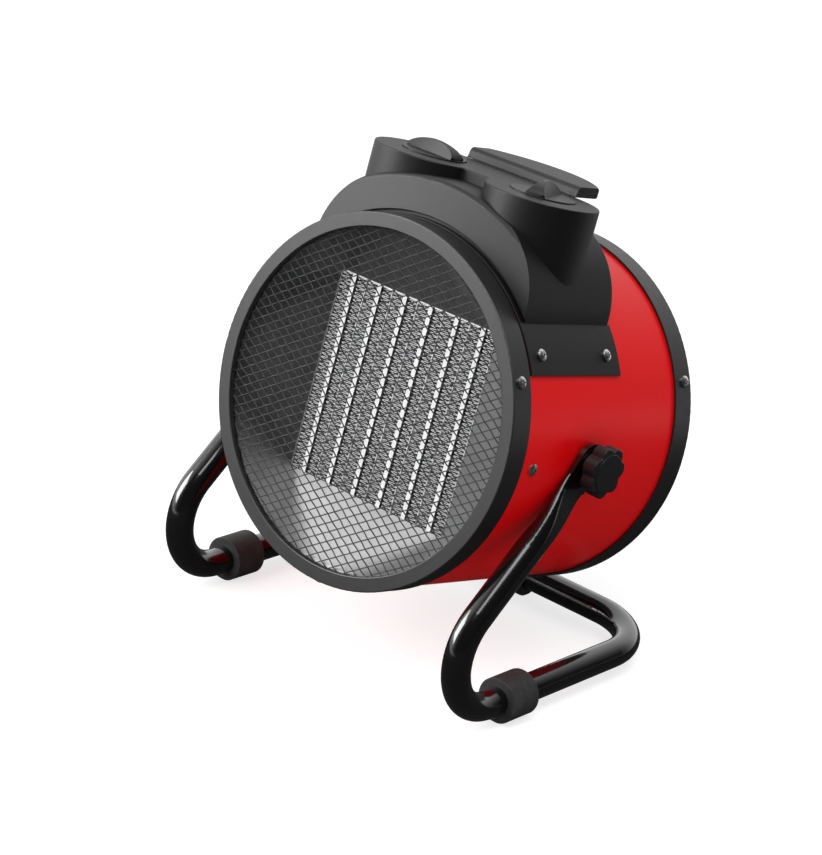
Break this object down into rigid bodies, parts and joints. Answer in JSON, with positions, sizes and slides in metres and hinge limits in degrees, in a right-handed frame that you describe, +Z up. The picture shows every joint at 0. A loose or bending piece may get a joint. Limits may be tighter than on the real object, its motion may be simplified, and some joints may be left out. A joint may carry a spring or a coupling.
{
  "type": "forced air heater",
  "caption": "Round drum fan heater with a square ceramic element behind a mesh, a control housing with dials on top, and a bent tube stand it tilts in.",
  "frame": {"origin": "on the floor, under the middle of the outline seen from above", "axes": "+Z up, -Y the way the warm air leaves, +X to the heater's left as it faces forward, which is the right for someone looking at its front"},
  "size_m": [0.2292, 0.204, 0.2732],
  "materials": {
    "red_paint": "gloss paint",
    "black_ring": "satin black",
    "black_tube": "gloss black",
    "mesh": "satin black",
    "duct_sheet": "satin",
    "steel_sheet": "plain zinc",
    "screw_steel": "polished",
    "housing_black": "fine matt grain",
    "dial_black": "satin",
    "knob_black": "satin",
    "foot_rubber": "matt",
    "ceramic": "white ceramic facing",
    "fin_aluminium": "bright",
    "frame_black": "heat resistant black",
    "fan_metal": "pressed",
    "motor_steel": "zinc",
    "shaft_steel": "ground",
    "switch_plastic": "cream"
  },
  "bodies": {
    "stand": {"stand_tube": "black_tube", "foot_front_right": "foot_rubber", "foot_front_left": "foot_rubber", "foot_rear": "foot_rubber"},
    "heater": {"body_shell": "red_paint", "front_ring": "black_ring", "rear_ring": "black_ring", "front_grille": "mesh", "rear_grille": "mesh", "air_duct": "duct_sheet", "heater_frame": "frame_black", "ceramic_strips": "ceramic", "core_spacers": "fin_aluminium", "heating_fins": "fin_aluminium", "core_brackets": "steel_sheet", "thermal_cutout": "steel_sheet", "motor_bracket": "steel_sheet", "motor_can": "motor_steel", "control_housing": "housing_black", "carry_handle": "housing_black", "selector_switch": "switch_plastic", "thermostat_body": "switch_plastic", "terminal_block": "switch_plastic", "cable_gland": "knob_black", "ring_screws": "screw_steel", "housing_screws": "screw_steel", "side_screws": "screw_steel", "pivot_inserts": "screw_steel", "pivot_washers": "frame_black"},
    "selector": {"selector_knob": "dial_black", "selector_shaft": "shaft_steel"},
    "thermostat": {"thermostat_knob": "dial_black", "thermostat_shaft": "shaft_steel"},
    "fan": {"fan_impeller": "fan_metal", "motor_shaft": "shaft_steel"},
    "clamp_right": {"clamp_knob_right": "knob_black", "clamp_stud_right": "shaft_steel"},
    "clamp_left": {"clamp_knob_left": "knob_black", "clamp_stud_left": "shaft_steel"}
  },
  "joints": [
    {"name": "tilt", "type": "hinge", "parent": "stand", "child": "heater", "pos_m": [0, -0.00633, 0.1366], "axis": [-1, 0, 0], "range_deg": [-15.66, 69.34]},
    {"name": "selector_turn", "type": "hinge", "parent": "heater", "child": "selector", "pos_m": [-0.0378, 0.00084, 0.26499], "axis": [0, 0.185, 0.9827], "range_deg": [-90, 45]},
    {"name": "thermostat_turn", "type": "hinge", "parent": "heater", "child": "thermostat", "pos_m": [0.0378, 0.00084, 0.26499], "axis": [0, 0.185, 0.9827], "range_deg": [-200, 70]},
    {"name": "fan_spin", "type": "hinge", "parent": "heater", "child": "fan", "pos_m": [0, 0.00497, 0.13447], "axis": [0, 0.9827, -0.185], "continuous": true},
    {"name": "clamp_right_turn", "type": "hinge", "parent": "heater", "child": "clamp_right", "pos_m": [0.107, -0.00633, 0.1366], "axis": [1, 0, 0], "range_deg": [0, 360]},
    {"name": "clamp_left_turn", "type": "hinge", "parent": "heater", "child": "clamp_left", "pos_m": [-0.107, -0.00633, 0.1366], "axis": [-1, 0, 0], "range_deg": [0, 360]}
  ]
}
